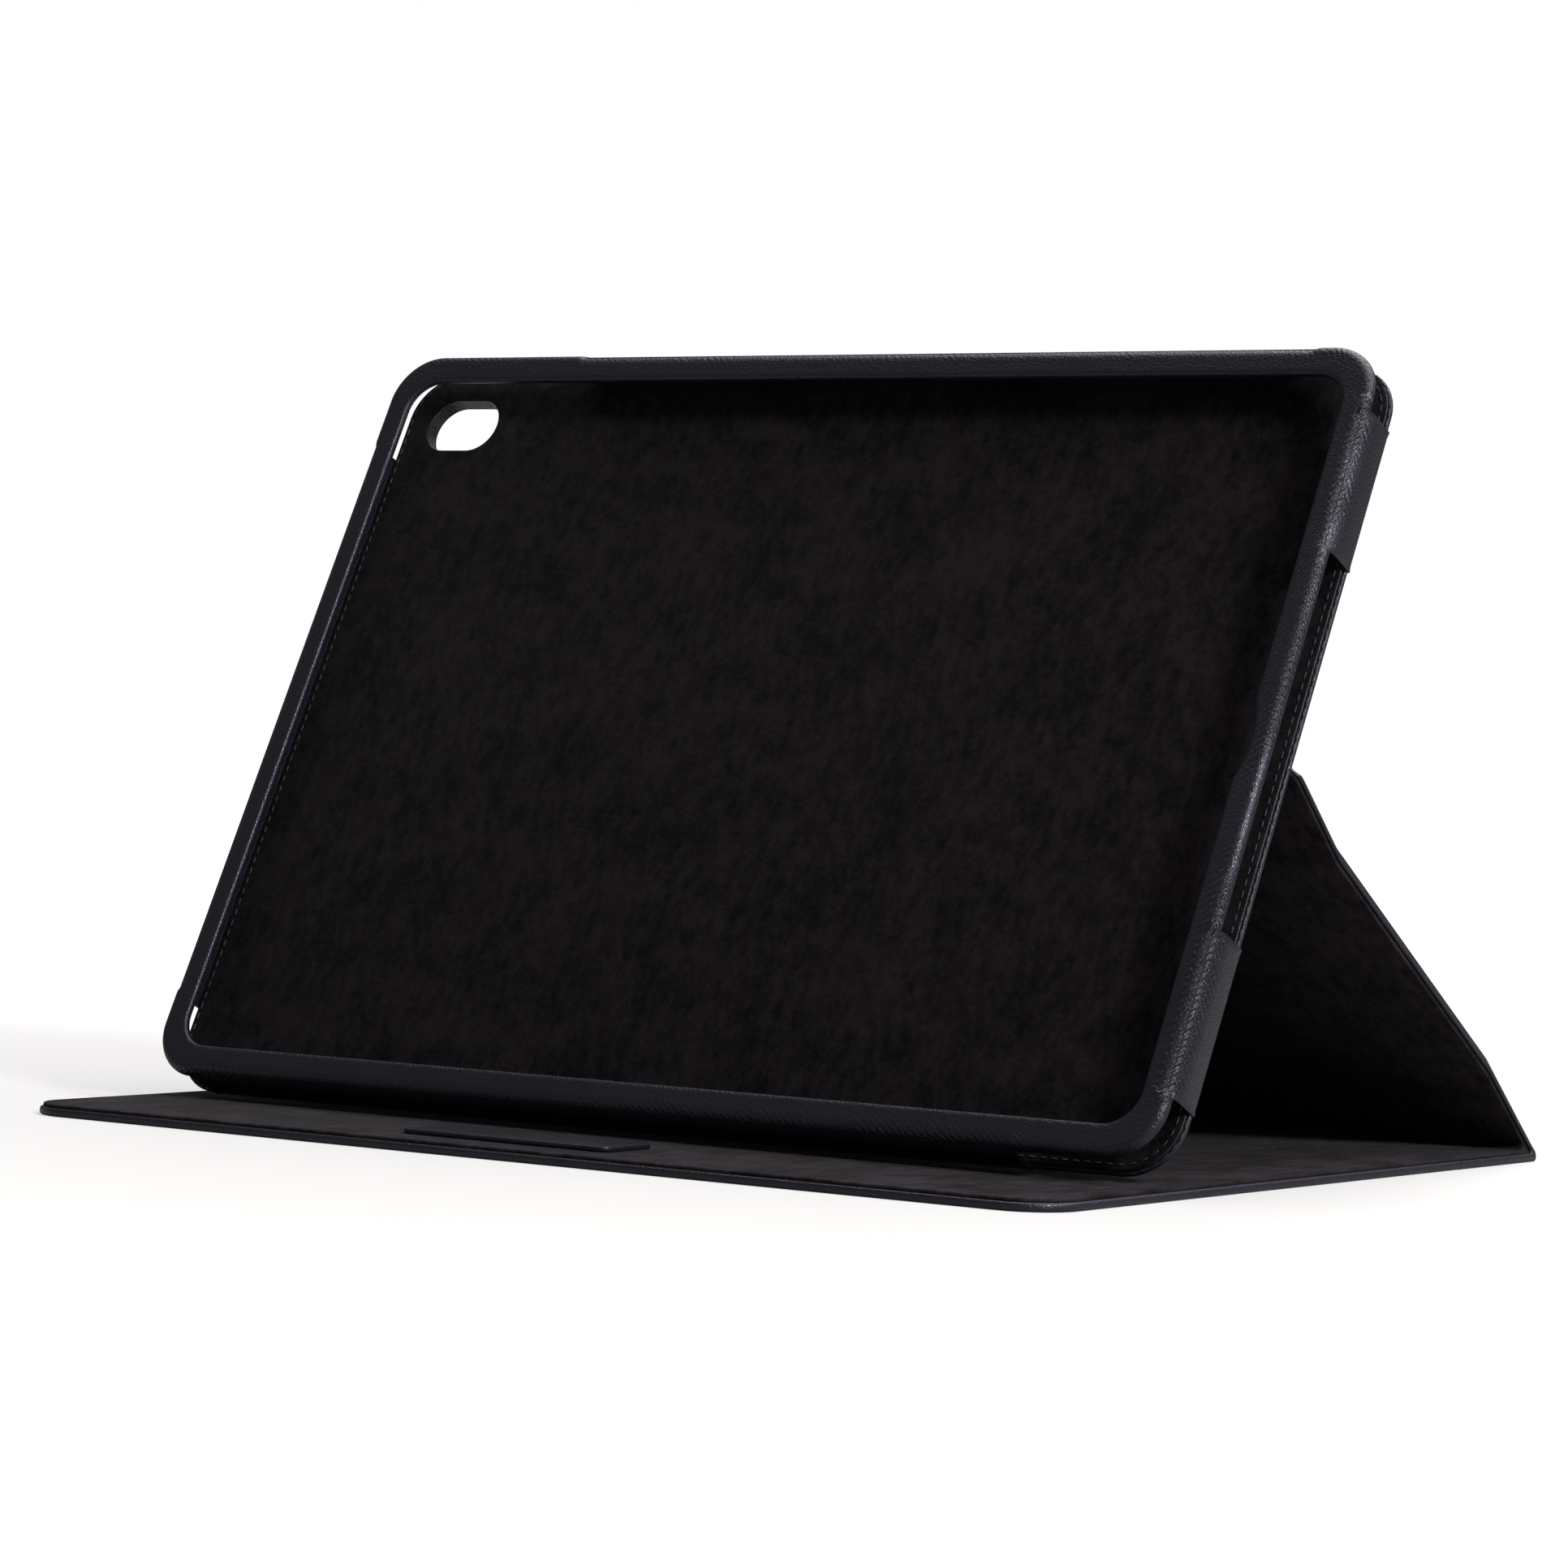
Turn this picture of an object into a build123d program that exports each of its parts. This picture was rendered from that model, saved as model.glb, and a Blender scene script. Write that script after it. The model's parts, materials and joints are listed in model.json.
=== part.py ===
"""Leather folio case for a 9.7-inch tablet, standing open as an easel.

The front cover lies flat. A soft spine, a stand panel and a short hinge flap rise
from its rear edge to the middle of the tray's back, and the tray leans on them with
its bottom edge on the cover's lining.

Frame: millimetres, +Z up, +X along the long edge, +Y towards the spine. The origin is
on the surface the case stands on, under the middle of the case.
"""

import os
from math import atan2, cos, degrees, hypot, radians, sin

from build123d import *

os.makedirs("parts", exist_ok=True)

# ---- the tablet the case is made for
tablet_w = 240.0
tablet_h = 169.5
tablet_t = 6.1
tablet_gap = 0.2
edge_room = 0.8

# ---- how the case stands
tray_tilt = 63.5
tray_rest_y = -48.2
rest_gap = 0.2
flap_slope = 43.5
stand_slope = 33.3

# ---- front cover
cover_w = 243.0
cover_depth = 186.0
cover_t = 2.4
cover_corner_r = 11.0
cover_skin = 0.8
cover_rim = 1.2
cover_lining_t = 0.7
cover_lining_inset = 0.6
edge_round = 0.7

# ---- soft folds: a fold is a rolled bead of leather, and panels end clear of it
fold_r = 1.2
fold_clear = 2.6
cover_fold_z = 1.3
soft_fold_r = 0.8
soft_fold_clear = 1.3
panel_w = 242.0
fold_w = 241.0

# ---- strips between the folds, with their skins either side of the pivot line
flap_len = 22.0
stand_len = 75.2
spine_lining_side, spine_leather_side = 0.4, 1.2
stand_lining_side, stand_leather_side = 1.0, 1.2
flap_lining_side, flap_leather_side = 0.6, 1.0
skin_t = 0.7
strip_rim = 1.0
spine_card_t = 0.3

# ---- tray: heights are measured from the tablet's glass, + towards the viewer
tray_w = tablet_w + 2 * edge_room
tray_h = tablet_h + 2 * edge_room
wall_t = 0.7
wall_high = 1.0
bezel_w, bezel_h = tray_w - 2 * wall_t, tray_h - 2 * wall_t
bezel_corner_r = 11.0
bezel_low, bezel_high = 0.2, 1.7
window_w, window_h = 228.6, 156.8
window_corner_r = 7.0
bezel_skin = 0.8
bezel_roll_r = 1.2
button_notch_len, button_notch_deep = 17.0, 1.5
plate_high = -(tablet_t + tablet_gap)
plate_lining_t = 0.5
inner_plate_inset = 0.6
inner_plate_t = 1.0
plate_low = -8.3
plate_skin = 0.5
plate_rim = 1.0
plate_round = 0.5
anchor_low = -10.3
anchor_skin = 1.0
anchor_w = 237.6
anchor_bottom, anchor_top = 2.0, 83.0
fold_u, fold_h = -1.5, -9.5

# ---- cut-outs, stitching and small pieces
camera_x, camera_u = -104.5, 72.0
camera_w, camera_h, camera_end_r = 19.0, 12.5, 6.2
thread_w, thread_t = 0.45, 0.15
back_seam_inset = 3.2
inner_seam_inset = 0.8
stop_strip_x, stop_strip_y = -6.0, -76.0
stop_strip_w, stop_strip_d, stop_strip_t = 49.0, 15.0, 1.1
stop_strip_corner_r, stop_strip_round = 1.5, 0.4
magnet_w, magnet_d, magnet_t = 20.0, 6.0, 0.6
magnet_x, magnet_y = 78.0, -84.5

# ---- derived places
tilt = radians(tray_tilt)
plate_half_h = tray_h / 2
glass_y = tray_rest_y + plate_half_h * cos(tilt) + plate_low * sin(tilt)
glass_z = cover_t + rest_gap + plate_half_h * sin(tilt) - plate_low * cos(tilt)
tray_axis = Axis((0, glass_y, glass_z), (0, -sin(tilt), cos(tilt)))


def tray_plane(h):
    """The tray's plane at height h above the glass: X along the tray, Y up it."""
    return Plane(
        origin=(0, glass_y - h * sin(tilt), glass_z + h * cos(tilt)),
        x_dir=(1, 0, 0),
        z_dir=(0, -sin(tilt), cos(tilt)),
    )


def down_slope(point, slope, length):
    """The point that lies a length down a slope, in the side view (Y, Z)."""
    y, z = point
    return y + length * cos(radians(slope)), z - length * sin(radians(slope))


def strip_plane(top, slope, rise):
    """A strip's plane: origin on its upper fold, lifted by rise to the leather side."""
    y, z = top
    a = radians(slope)
    return Plane(
        origin=(0, y + rise * sin(a), z + rise * cos(a)),
        x_dir=(1, 0, 0),
        z_dir=(0, sin(a), cos(a)),
    )


back_fold = (
    glass_y + fold_u * cos(tilt) - fold_h * sin(tilt),
    glass_z + fold_u * sin(tilt) + fold_h * cos(tilt),
)
flap_fold = down_slope(back_fold, flap_slope, flap_len)
spine_fold = down_slope(flap_fold, stand_slope, stand_len)
cover_fold = (cover_depth / 2 - fold_r, cover_fold_z)
spine_run = (cover_fold[0] - spine_fold[0], spine_fold[1] - cover_fold[1])
spine_slope = degrees(atan2(spine_run[1], spine_run[0]))
spine_len = hypot(spine_run[0], spine_run[1])


def save(piece, name):
    """Labels a finished piece and writes it."""
    piece.part.label = name
    export_step(piece.part, f"parts/{name}.step")


# ---------------------------------------------------------------- front cover
cover_front = -cover_depth / 2
cover_rear = cover_fold[0] - fold_clear
cover_mid = (cover_front + cover_rear) / 2
cover_len = cover_rear - cover_front
board_high = cover_t - cover_lining_t


def cover_outline(inset):
    """The cover's outline in the open sketch: round at its two free corners."""
    with Locations((0, cover_mid)):
        outline = Rectangle(cover_w - 2 * inset, cover_len - 2 * inset)
    free = outline.vertices().sort_by(Axis.Y)[:2]
    fillet(free, cover_corner_r - inset)


with BuildPart() as front_cover_leather:
    with BuildSketch():
        cover_outline(0)
    extrude(amount=board_high)
    fillet(front_cover_leather.faces().sort_by(Axis.Z)[0].edges(), edge_round)
    with BuildSketch(Plane.XY.offset(cover_skin)):
        cover_outline(cover_rim)
    extrude(amount=cover_t, mode=Mode.SUBTRACT)
save(front_cover_leather, "front_cover_leather")

with BuildPart() as front_cover_board:
    with BuildSketch(Plane.XY.offset(cover_skin)):
        cover_outline(cover_rim)
    extrude(amount=board_high - cover_skin)
    with BuildSketch(Plane.XY.offset(board_high)):
        with Locations((-magnet_x, magnet_y), (magnet_x, magnet_y)):
            Rectangle(magnet_w, magnet_d)
    extrude(amount=-magnet_t, mode=Mode.SUBTRACT)
save(front_cover_board, "front_cover_board")

with BuildPart() as cover_magnets:
    with BuildSketch(Plane.XY.offset(board_high)):
        with Locations((-magnet_x, magnet_y), (magnet_x, magnet_y)):
            Rectangle(magnet_w, magnet_d)
    extrude(amount=-magnet_t)
save(cover_magnets, "cover_magnets")

with BuildPart() as front_cover_lining:
    with BuildSketch(Plane.XY.offset(board_high)):
        cover_outline(cover_lining_inset)
    extrude(amount=cover_lining_t)
save(front_cover_lining, "front_cover_lining")

with BuildPart() as stop_strip:
    with BuildSketch(Plane.XY.offset(cover_t)):
        with Locations((stop_strip_x, stop_strip_y)):
            RectangleRounded(stop_strip_w, stop_strip_d, stop_strip_corner_r)
    extrude(amount=stop_strip_t)
    fillet(stop_strip.faces().sort_by(Axis.Z)[-1].edges(), stop_strip_round)
save(stop_strip, "stop_strip")


# ------------------------------------- strips: hinge flap, stand panel and spine
def strip_outline(start, end, inset):
    """The strip from start to end, measured down from its upper fold."""
    with Locations((0, (start + end) / 2)):
        Rectangle(panel_w - 2 * inset, end - start - 2 * inset)


def leather_skin(top, slope, start, end, low, high):
    """A strip's leather: a pan turned over its long sides and both ends."""
    with BuildPart() as skin:
        with BuildSketch(strip_plane(top, slope, high)):
            strip_outline(start, end, 0)
        extrude(amount=low - high)
        with BuildSketch(strip_plane(top, slope, high - skin_t)):
            strip_outline(start, end, strip_rim)
        extrude(amount=low - high, mode=Mode.SUBTRACT)
    return skin


def strip_layer(top, slope, start, end, low, high):
    """A flat layer of a strip that lies inside the leather's turned edge."""
    with BuildPart() as layer:
        with BuildSketch(strip_plane(top, slope, low)):
            strip_outline(start, end, strip_rim)
        extrude(amount=high - low)
    return layer


strips = {
    "hinge_flap": (
        back_fold, flap_slope, soft_fold_clear, flap_len - soft_fold_clear,
        -flap_lining_side, flap_leather_side, 0,
    ),
    "stand_panel": (
        flap_fold, stand_slope, soft_fold_clear, stand_len - soft_fold_clear,
        -stand_lining_side, stand_leather_side, stand_lining_side + stand_leather_side - 2 * skin_t,
    ),
    "spine": (
        spine_fold, spine_slope, soft_fold_clear, spine_len - fold_clear,
        -spine_lining_side, spine_leather_side, spine_card_t,
    ),
}
cores = {"stand_panel": "stand_panel_board", "spine": "spine_card"}
for name, (top, slope, start, end, low, high, core_t) in strips.items():
    save(leather_skin(top, slope, start, end, low, high), f"{name}_leather")
    core_low = high - skin_t - core_t
    if name in cores:
        core = strip_layer(top, slope, start, end, core_low, high - skin_t)
        save(core, cores[name])
    save(strip_layer(top, slope, start, end, low, core_low), f"{name}_lining")

folds = {
    "cover_fold_leather": (cover_fold, fold_r),
    "spine_fold_leather": (spine_fold, soft_fold_r),
    "flap_fold_leather": (flap_fold, soft_fold_r),
    "back_fold_leather": (back_fold, soft_fold_r),
}
for name, ((y, z), r) in folds.items():
    with BuildPart() as bead:
        with BuildSketch(Plane.YZ.offset(-fold_w / 2)):
            with Locations((y, z)):
                Circle(r)
        extrude(amount=fold_w)
    save(bead, name)


# ------------------------------------------------------------------- tray: bezel
def window(inset):
    """The window's outline, with its shallow arc beside the home button."""
    RectangleRounded(window_w - 2 * inset, window_h - 2 * inset, window_corner_r)
    half = button_notch_len / 2
    deep = button_notch_deep
    arc_r = (half * half + deep * deep) / (2 * deep)
    with Locations((window_w / 2 + deep - arc_r, 0)):
        Circle(arc_r - inset)


def bezel_band(skin):
    """The band between the bezel's outer edge and the window, less a skin."""
    RectangleRounded(bezel_w - 2 * skin, bezel_h - 2 * skin, bezel_corner_r - skin)
    with BuildSketch(mode=Mode.PRIVATE) as opening:
        window(-skin)
    add(opening.sketch, mode=Mode.SUBTRACT)


with BuildPart() as bezel_leather:
    with BuildSketch(tray_plane(bezel_low)):
        bezel_band(0)
    extrude(amount=bezel_high - bezel_low)
    front_face = bezel_leather.faces().sort_by(tray_axis)[-1]
    fillet(front_face.outer_wire().edges(), bezel_roll_r)
    with BuildSketch(tray_plane(bezel_low)):
        bezel_band(bezel_skin)
    extrude(amount=bezel_skin, mode=Mode.SUBTRACT)
save(bezel_leather, "bezel_leather")

with BuildPart() as bezel_stiffener:
    with BuildSketch(tray_plane(bezel_low)):
        bezel_band(bezel_skin)
    extrude(amount=bezel_skin)
save(bezel_stiffener, "bezel_stiffener")

# ------------------------------------------------------------------- tray: walls
wall_x = tray_w / 2 - wall_t / 2
wall_u = tray_h / 2 - wall_t / 2
walls = {
    "top_wall": ((-72.0, 106.0), None, wall_u),
    "bottom_wall": ((-108.0, 90.0), None, -wall_u),
    "left_wall": (None, (-67.0, 63.6), -wall_x),
    "right_upper_wall": (None, (40.5, 71.0), wall_x),
    "right_lower_wall": (None, (-72.0, -38.4), wall_x),
}
for name, (along_x, along_u, offset_from_middle) in walls.items():
    low_end, high_end = along_x or along_u
    centre, length = (low_end + high_end) / 2, high_end - low_end
    place = (centre, offset_from_middle) if along_x else (offset_from_middle, centre)
    size = (length, wall_t) if along_x else (wall_t, length)
    with BuildPart() as wall:
        with BuildSketch(tray_plane(plate_low)):
            with Locations(place):
                Rectangle(*size)
        extrude(amount=wall_high - plate_low)
    save(wall, name)


# ------------------------------------------------------------- tray: back plates
def camera_slot():
    """Takes the camera's slot out of the open sketch."""
    with Locations((camera_x, camera_u)):
        RectangleRounded(camera_w, camera_h, camera_end_r, mode=Mode.SUBTRACT)


def plate_outline(inset):
    """The back plates' outline, less an inset, with the camera's slot."""
    RectangleRounded(bezel_w - 2 * inset, bezel_h - 2 * inset, bezel_corner_r - inset)
    camera_slot()


def plate_layer(high, thickness, inset):
    """A flat layer of the back, its front face at a height above the glass."""
    with BuildPart() as layer:
        with BuildSketch(tray_plane(high)):
            plate_outline(inset)
        extrude(amount=-thickness)
    return layer


lining_low = plate_high - plate_lining_t
outer_high = plate_high - inner_plate_t
board_low = plate_low + plate_skin
save(plate_layer(plate_high, plate_lining_t, inner_plate_inset), "tray_lining")
save(plate_layer(lining_low, lining_low - outer_high, inner_plate_inset), "tray_inner_board")
save(plate_layer(outer_high, outer_high - board_low, plate_rim), "tray_outer_board")

with BuildPart() as tray_back_leather:
    with BuildSketch(tray_plane(plate_low)):
        plate_outline(0)
    extrude(amount=outer_high - plate_low)
    rear_face = tray_back_leather.faces().sort_by(tray_axis)[0]
    fillet(rear_face.outer_wire().edges(), plate_round)
    with BuildSketch(tray_plane(board_low)):
        plate_outline(plate_rim)
    extrude(amount=outer_high - plate_low, mode=Mode.SUBTRACT)
save(tray_back_leather, "tray_back_leather")


# ------------------------- tray: the folio's rear panel, glued to the upper half
def anchor_outline(inset):
    """The rear panel's outline, with the camera's slot."""
    with Locations((0, (anchor_bottom + anchor_top) / 2)):
        outline = Rectangle(anchor_w - 2 * inset, anchor_top - anchor_bottom - 2 * inset)
    fillet(outline.vertices().sort_by(Axis.Y)[-2:], bezel_corner_r - anchor_skin - inset)
    camera_slot()


with BuildPart() as rear_panel_leather:
    with BuildSketch(tray_plane(anchor_low)):
        anchor_outline(0)
    extrude(amount=plate_low - anchor_low)
    with BuildSketch(tray_plane(anchor_low + anchor_skin)):
        anchor_outline(anchor_skin)
    extrude(amount=plate_low - anchor_low, mode=Mode.SUBTRACT)
save(rear_panel_leather, "rear_panel_leather")

with BuildPart() as rear_panel_board:
    with BuildSketch(tray_plane(anchor_low + anchor_skin)):
        anchor_outline(anchor_skin)
    extrude(amount=plate_low - anchor_low - anchor_skin)
save(rear_panel_board, "rear_panel_board")

# -------------------------------------------------------------- tray: stitching
with BuildPart() as back_seam_thread:
    with BuildSketch(tray_plane(anchor_low)):
        with Locations((0, (anchor_bottom + anchor_top) / 2)):
            seam_w = anchor_w - 2 * back_seam_inset
            seam_h = anchor_top - anchor_bottom - 2 * back_seam_inset
            Rectangle(seam_w, seam_h)
            Rectangle(seam_w - 2 * thread_w, seam_h - 2 * thread_w, mode=Mode.SUBTRACT)
    extrude(amount=-thread_t)
save(back_seam_thread, "back_seam_thread")

for name, high, inset in (
    ("inner_seam_thread", plate_high, inner_plate_inset + inner_seam_inset),
    ("outer_seam_thread", outer_high, (inner_plate_inset - thread_w) / 2),
):
    with BuildPart() as seam:
        with BuildSketch(tray_plane(high)):
            RectangleRounded(bezel_w - 2 * inset, bezel_h - 2 * inset, bezel_corner_r - inset)
            inside = inset + thread_w
            RectangleRounded(
                bezel_w - 2 * inside, bezel_h - 2 * inside, bezel_corner_r - inside,
                mode=Mode.SUBTRACT,
            )
        extrude(amount=thread_t)
    save(seam, name)

for name, (y, z) in {
    "cover_fold": cover_fold,
    "spine_fold": spine_fold,
    "flap_fold": flap_fold,
    "back_fold": back_fold,
    "glass_centre": (glass_y, glass_z),
}.items():
    print(f"{name}: Y {y:.3f}, Z {z:.3f}")
print(f"spine: slope {spine_slope:.3f}, length {spine_len:.3f}")
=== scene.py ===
"""Leather folio case for a tablet, standing open as an easel.

The front cover lies flat with its suede up. The folio's leather and suede run on
without a break over the nose, the spine, the stand panel and the hinge flap to the
tray's back. One leather wrap makes the tray's bezel and its five walls.
"""

import json
import math

import bpy
from bpy.props import FloatProperty, FloatVectorProperty, IntProperty, PointerProperty
from mathutils import Matrix, Vector


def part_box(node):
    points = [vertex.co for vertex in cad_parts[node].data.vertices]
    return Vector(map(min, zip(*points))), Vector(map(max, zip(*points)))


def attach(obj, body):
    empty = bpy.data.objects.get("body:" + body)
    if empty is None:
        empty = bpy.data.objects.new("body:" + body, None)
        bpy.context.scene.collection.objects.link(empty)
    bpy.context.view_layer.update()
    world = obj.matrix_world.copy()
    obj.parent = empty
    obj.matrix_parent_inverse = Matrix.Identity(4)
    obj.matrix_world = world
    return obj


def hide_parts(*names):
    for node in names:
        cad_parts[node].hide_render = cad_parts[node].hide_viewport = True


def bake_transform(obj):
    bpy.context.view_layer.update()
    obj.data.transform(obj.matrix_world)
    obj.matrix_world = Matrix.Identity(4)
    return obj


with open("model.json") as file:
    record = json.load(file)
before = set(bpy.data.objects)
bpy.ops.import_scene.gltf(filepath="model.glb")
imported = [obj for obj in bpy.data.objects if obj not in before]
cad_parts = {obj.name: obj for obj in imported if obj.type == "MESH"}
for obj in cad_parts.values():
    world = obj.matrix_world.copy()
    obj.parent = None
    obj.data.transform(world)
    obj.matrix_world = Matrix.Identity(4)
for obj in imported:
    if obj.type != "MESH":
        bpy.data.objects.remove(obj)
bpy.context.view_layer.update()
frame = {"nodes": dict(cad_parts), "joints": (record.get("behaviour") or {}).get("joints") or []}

bl_info = {
    "name": "Tablet folio case",
    "version": (1, 0, 0),
    "blender": (4, 5, 0),
    "location": "3D View > Sidebar > Folio",
    "description": "Builds a leather easel folio round its packed frame",
    "category": "Object",
}

MM = 0.001
NEARLY = 0.01  # mm, less than any size here
FOLD = {joint["name"]: Vector(joint["pos_m"][1:]) for joint in frame["joints"]}

# The tray's own plane: its origin is the middle of the tablet's glass.
TILT = math.radians(63.5)
GLASS = Vector((0, -17.456 * MM, 82.865 * MM))
TRAY = Matrix.Translation(GLASS) @ Matrix.Rotation(TILT, 4, "X")

# The camera's slot through the tray's plates: its middle and half sizes (mm).
SLOT_X, SLOT_U, SLOT_HALF_W, SLOT_HALF_H = -104.5, 72.0, 9.5, 6.25
SLOT_CUT_LOW, SLOT_CUT_HIGH = -14, 0

# Wall spans, measured along each side from its middle (mm).
WALL_SPANS = {
    "right": ((-72.0, -38.4), (40.5, 71.0)),
    "top": ((-106.0, 72.0),),
    "left": ((-63.6, 67.0),),
    "bottom": ((-108.0, 90.0),),
}


# ------------------------------------------------------------------ settings
class FolioShape(bpy.types.PropertyGroup):
    """Sizes of the soft parts that a maker would change."""

    wrap_thickness: FloatProperty(
        name="Wrap thickness", description="Thickness of the leather round the tray",
        default=0.0007, min=0.0003, max=0.002, unit="LENGTH", subtype="DISTANCE",
    )
    bullnose: FloatProperty(
        name="Bullnose", description="Radius from the bezel's face to its walls",
        default=0.0033, min=0.001, max=0.005, unit="LENGTH", subtype="DISTANCE",
    )
    edge_bevel: FloatProperty(
        name="Edge rounding", description="Rounding of the folio's turned edges",
        default=0.00045, min=0.0001, max=0.001, unit="LENGTH", subtype="DISTANCE",
    )
    stitch_pitch: FloatProperty(
        name="Stitch pitch", description="Distance from one stitch to the next",
        default=0.0024, min=0.0015, max=0.006, unit="LENGTH", subtype="DISTANCE",
    )
    columns: IntProperty(
        name="Columns", description="Columns of faces across the folio's sheets",
        default=60, min=12, max=200,
    )


class FolioColours(bpy.types.PropertyGroup):
    """Colours of the finishes."""

    leather: FloatVectorProperty(
        name="Leather", description="Dye of the leather", subtype="COLOR",
        default=(0.0056, 0.0054, 0.0100), min=0, max=1,
    )
    suede: FloatVectorProperty(
        name="Suede", description="Dye of the suede lining", subtype="COLOR",
        default=(0.017, 0.0132, 0.0166), min=0, max=1,
    )
    thread: FloatVectorProperty(
        name="Thread", description="Colour of the sewing thread", subtype="COLOR",
        default=(0.022, 0.021, 0.024), min=0, max=1,
    )
    floor: FloatVectorProperty(
        name="Floor", description="Colour of the table top", subtype="COLOR",
        default=(0.37, 0.358, 0.352), min=0, max=1,
    )


class FolioLight(bpy.types.PropertyGroup):
    """Strength of the studio light."""

    overhead: FloatProperty(
        name="Overhead", description="Power of the softbox above", default=75, min=0,
        unit="POWER",
    )
    side: FloatProperty(
        name="Side", description="Power of the softbox on the right", default=3, min=0,
        unit="POWER",
    )
    glint: FloatProperty(
        name="Glint", description="Power of the small light that glints on the bezel's edge",
        default=34, min=0, unit="POWER",
    )
    ambient: FloatProperty(
        name="Ambient", description="Light from all round", default=0.16, min=0, max=2,
    )


# ----------------------------------------------------------------- modelling
def start_fresh():
    """Leaves nothing selected, so that an operator acts on the next piece alone."""
    if bpy.context.object and bpy.context.object.mode != "OBJECT":
        bpy.ops.object.mode_set(mode="OBJECT")
    bpy.ops.object.select_all(action="DESELECT")


def named(name):
    """The piece that was just added, under its own name."""
    piece = bpy.context.object
    piece.name = piece.data.name = name
    return piece


def pick(piece, kind, chosen):
    """Goes into edit mode with only the points, edges or faces that are chosen."""
    bpy.ops.object.mode_set(mode="EDIT")
    bpy.ops.mesh.select_mode(type=kind)
    bpy.ops.mesh.select_all(action="DESELECT")
    bpy.ops.object.mode_set(mode="OBJECT")
    mesh = piece.data
    elements = {"VERT": mesh.vertices, "EDGE": mesh.edges, "FACE": mesh.polygons}[kind]
    for element in elements:
        element.select = chosen(element)
    bpy.ops.object.mode_set(mode="EDIT")


def bevel_edges(piece, chosen, width, segments):
    """Rounds the edges whose two ends pass a test."""
    ends = piece.data.vertices
    pick(piece, "EDGE", lambda edge: chosen(*(ends[i] for i in edge.vertices)))
    bpy.ops.mesh.bevel(offset=width, segments=segments, affect="EDGES", clamp_overlap=True)
    bpy.ops.object.mode_set(mode="OBJECT")


def apply(piece, kind, **settings):
    """Adds a modifier with its settings, and applies it."""
    modifier = piece.modifiers.new(kind.title(), kind)
    for name, value in settings.items():
        setattr(modifier, name, value)
    bpy.context.view_layer.objects.active = piece
    bpy.ops.object.modifier_apply(modifier=modifier.name)


def smooth(piece, angle=35):
    """Smooth shading, with creases kept where faces meet more steeply."""
    start_fresh()
    piece.select_set(True)
    bpy.context.view_layer.objects.active = piece
    bpy.ops.object.shade_smooth_by_angle(angle=math.radians(angle))


def settle(piece):
    """Puts the object's place and turn into its mesh."""
    start_fresh()
    piece.select_set(True)
    bpy.context.view_layer.objects.active = piece
    bpy.ops.object.transform_apply(location=True, rotation=True, scale=True)


def into_tray(piece):
    """Lays a piece that was modelled flat into the tray's leaning plane."""
    piece.matrix_world = TRAY
    settle(piece)


def ease(t):
    """Smooth step from 0 to 1."""
    t = min(1.0, max(0.0, t))
    return t * t * (3 - 2 * t)


def slab(name, low, high, corners=(), corner_r=0.0):
    """A flat slab in mm between two corners, with some of its corners rounded."""
    start_fresh()
    low, high = Vector(low) * MM, Vector(high) * MM
    bpy.ops.mesh.primitive_cube_add(size=1, location=(low + high) / 2, scale=high - low)
    piece = named(name)
    settle(piece)
    if corners:
        middle = (low + high) / 2

        def is_corner(a, b):
            side = (a.co.x > middle.x, a.co.y > middle.y)
            return (a.co.xy - b.co.xy).length < 1e-6 and side in corners

        bevel_edges(piece, is_corner, corner_r * MM, 12)
    return piece


ALL_CORNERS = ((False, False), (True, False), (False, True), (True, True))


def round_rims(piece, width, keep_sharp=None):
    """Rounds a slab's two outlines, apart from those a test keeps sharp."""
    heights = [v.co.z for v in piece.data.vertices]
    low, high = min(heights), max(heights)

    def on_rim(a, b):
        level = any(max(abs(a.co.z - z), abs(b.co.z - z)) < 1e-7 for z in (low, high))
        return level and not (keep_sharp and keep_sharp(a.co) and keep_sharp(b.co))

    bevel_edges(piece, on_rim, width, 3)


def cut_slot(piece):
    """Cuts the camera's slot through a plate of the tray."""
    cutter = slab(
        "slot_cutter", (SLOT_X - SLOT_HALF_W, SLOT_U - SLOT_HALF_H, SLOT_CUT_LOW),
        (SLOT_X + SLOT_HALF_W, SLOT_U + SLOT_HALF_H, SLOT_CUT_HIGH),
        ALL_CORNERS, SLOT_HALF_H - NEARLY,
    )
    start_fresh()
    piece.select_set(True)
    apply(piece, "BOOLEAN", object=cutter, operation="DIFFERENCE", solver="EXACT")
    bpy.data.objects.remove(cutter)


def finish_piece(piece, material, body=None, replaced=()):
    """Gives a piece its material, its body and the nodes it stands for."""
    piece.data.materials.clear()
    piece.data.materials.append(material)
    if body:
        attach(piece, body)
    if replaced:
        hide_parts(*replaced)


# ---------------------------------------------------- the folio's side profile
class Line:
    """A straight line of the side view (Y, Z): a point, a direction and its left normal."""

    def __init__(self, point, towards, rise=0.0):
        self.along = (Vector(towards)).normalized()
        self.out = Vector((self.along.y, -self.along.x))
        self.point = Vector(point) + self.out * rise * MM

    def meet(self, other):
        """The point where two lines cross."""
        gap = other.point - self.point
        cross = self.along.x * other.along.y - self.along.y * other.along.x
        return self.point + self.along * (gap.x * other.along.y - gap.y * other.along.x) / cross


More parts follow.
